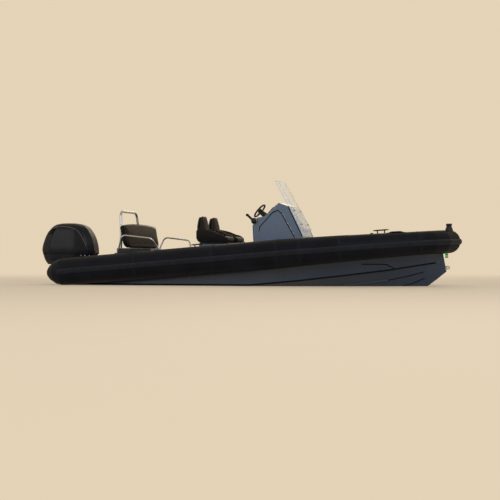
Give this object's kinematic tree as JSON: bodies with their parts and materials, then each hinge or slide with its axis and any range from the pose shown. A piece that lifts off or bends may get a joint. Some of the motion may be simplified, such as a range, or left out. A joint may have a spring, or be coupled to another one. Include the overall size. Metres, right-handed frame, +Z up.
{
  "type": "rigid inflatable boat",
  "caption": "Rigid inflatable boat with a deep-V hull, tube collar, console, helm seats, aft bench, tow bow and a tilting, steering outboard engine with a turning propeller.",
  "frame": {"origin": "centre-line at the waterline, amidships", "axes": "+X forward to the bow, +Y to port, +Z up"},
  "size_m": [8.2926, 2.76, 2.78],
  "materials": {
    "tube_fabric": "matt coated fabric",
    "cone_rubber": "satin moulded rubber",
    "strake_rubber": "satin rubbing strake",
    "hull_gelcoat": "polished gelcoat",
    "deck_gelcoat": "gelcoat with non-slip areas",
    "console_gelcoat": "polished gelcoat",
    "black_moulding": "black moulding",
    "dash_black": "matt black panel",
    "screen_acrylic": "clear acrylic sheet",
    "stainless": "mirror-polished stainless steel",
    "seat_vinyl": "dark stitched vinyl",
    "green_lens": "green lens",
    "red_lens": "red lens",
    "engine_metal": "dark painted casting",
    "engine_paint": "black gloss paint",
    "cowl_plastic": "black gloss cowl",
    "prop_steel": "polished steel",
    "wheel_grip": "padded black grip"
  },
  "bodies": {
    "hull": {"hull": "hull_gelcoat", "deck_liner": "deck_gelcoat", "transom": "hull_gelcoat", "tube_side_starboard": "tube_fabric", "tube_side_port": "tube_fabric", "tube_bow_starboard": "tube_fabric", "tube_bow_port": "tube_fabric", "tube_cone_starboard": "cone_rubber", "tube_cone_port": "cone_rubber", "rub_strake": "strake_rubber", "bow_locker": "deck_gelcoat", "bow_post": "black_moulding", "cleats": "stainless", "bow_eye": "stainless", "stern_eyes": "stainless", "side_light_starboard": "green_lens", "side_light_port": "red_lens", "console": "console_gelcoat", "dash_panel": "dash_black", "windscreen": "screen_acrylic", "windscreen_fixings": "stainless", "steering_column": "black_moulding", "throttle": "black_moulding", "helm_pods": "console_gelcoat", "helm_seat_starboard": "seat_vinyl", "helm_seat_port": "seat_vinyl", "bench_base": "console_gelcoat", "bench_backrest": "seat_vinyl", "ski_bow": "stainless", "side_rail_starboard": "stainless", "side_rail_port": "stainless", "clamp_bracket": "engine_metal"},
    "swivel": {"swivel_bracket": "engine_metal"},
    "outboard": {"engine_leg": "engine_paint", "gearcase": "engine_paint", "lower_cowl": "cowl_plastic", "cowl": "cowl_plastic", "engine_block": "engine_metal"},
    "propeller": {"propeller": "prop_steel"},
    "steering_wheel": {"steering_wheel": "wheel_grip"},
    "bow_lid": {"bow_locker_lid": "deck_gelcoat"},
    "bench_lid": {"bench_lid": "deck_gelcoat", "bench_cushion": "seat_vinyl"}
  },
  "joints": [
    {"name": "engine_tilt", "type": "hinge", "parent": "hull", "child": "swivel", "pos_m": [-3.35, 0, 0.305], "axis": [0, 1, 0], "range_deg": [0, 65]},
    {"name": "engine_steer", "type": "hinge", "parent": "swivel", "child": "outboard", "pos_m": [-3.49, 0, 0.1], "axis": [0, 0, 1], "range_deg": [-30, 30]},
    {"name": "propeller_spin", "type": "hinge", "parent": "outboard", "child": "propeller", "pos_m": [-4.1, 0, -0.58], "axis": [1, 0, 0], "continuous": true},
    {"name": "wheel_turn", "type": "hinge", "parent": "hull", "child": "steering_wheel", "pos_m": [0.225, -0.1, 1.388], "axis": [0.766, 0, -0.6428], "range_deg": [-545, 545]},
    {"name": "bow_lid_hinge", "type": "hinge", "parent": "hull", "child": "bow_lid", "pos_m": [2.25, 0, 0.5603], "axis": [0, -1, 0], "range_deg": [0, 85]},
    {"name": "bench_lid_hinge", "type": "hinge", "parent": "hull", "child": "bench_lid", "pos_m": [-1.7, 0, 0.5403], "axis": [0, 1, 0], "range_deg": [0, 95]}
  ],
  "couplings": [
    {"joint": "wheel_turn", "follows": "engine_steer", "ratio": 18}
  ]
}
